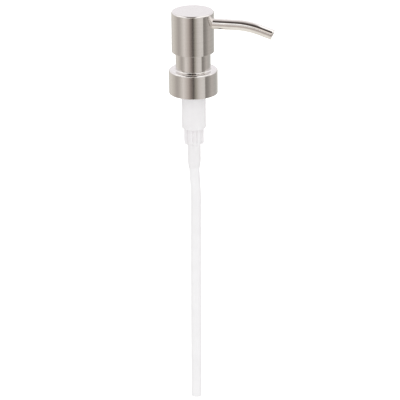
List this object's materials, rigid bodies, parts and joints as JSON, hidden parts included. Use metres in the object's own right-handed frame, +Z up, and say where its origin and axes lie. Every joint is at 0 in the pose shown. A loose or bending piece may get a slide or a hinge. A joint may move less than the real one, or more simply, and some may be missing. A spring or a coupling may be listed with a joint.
{
  "type": "soap pump dispenser",
  "caption": "Press-down soap pump with a brushed steel head, bent side spout, screw collar, ribbed plastic housing and long dip tube.",
  "frame": {"origin": "centre of the plane where the gasket rests on the bottle's rim, on the pump's axis", "axes": "+Z up along the pump's axis, towards the head; +X along the spout"},
  "size_m": [0.0719, 0.0328, 0.2779],
  "materials": {
    "brushed_stainless": "fine circumferential brush",
    "polished_stainless": "polished",
    "white_polypropylene": "moulded, fine matte",
    "natural_polyethylene": "extruded, translucent",
    "white_foam": "matt",
    "spring_steel": "drawn wire",
    "ball_steel": "ground and polished"
  },
  "bodies": {
    "pump_body": {"pump_housing": "white_polypropylene", "chaplet": "white_polypropylene", "bottle_gasket": "white_foam", "ball_retainer": "white_polypropylene", "dip_tube": "natural_polyethylene"},
    "closure": {"collar_shell": "brushed_stainless", "neck_sleeve": "brushed_stainless", "closure_cap": "white_polypropylene"},
    "spring": {"return_spring": "spring_steel"},
    "actuator": {"stem": "white_polypropylene", "piston_rod": "white_polypropylene", "head_core": "white_polypropylene", "head_shell": "brushed_stainless", "spout_tube": "polished_stainless", "spout_liner": "natural_polyethylene"},
    "piston": {"piston_seal": "natural_polyethylene"},
    "inlet_valve": {"inlet_ball": "ball_steel"}
  },
  "joints": [
    {"name": "closure_spin", "type": "hinge", "parent": "pump_body", "child": "closure", "pos_m": [0, 0, 0], "axis": [0, 0, 1], "continuous": true},
    {"name": "pump_stroke", "type": "slide", "parent": "pump_body", "child": "spring", "axis": [0, 0, -1], "range_m": [0, 0.012], "stiffness_N_per_m": 250, "springref_m": -0.02, "deforming": ["return_spring"]},
    {"name": "head_swivel", "type": "hinge", "parent": "spring", "child": "actuator", "pos_m": [0, 0, 0], "axis": [0, 0, 1], "continuous": true},
    {"name": "seal_shift", "type": "slide", "parent": "actuator", "child": "piston", "axis": [0, 0, 1], "range_m": [0, 0.0012]},
    {"name": "inlet_ball_lift", "type": "slide", "parent": "pump_body", "child": "inlet_valve", "axis": [0, 0, 1], "range_m": [0, 0.0012]}
  ]
}
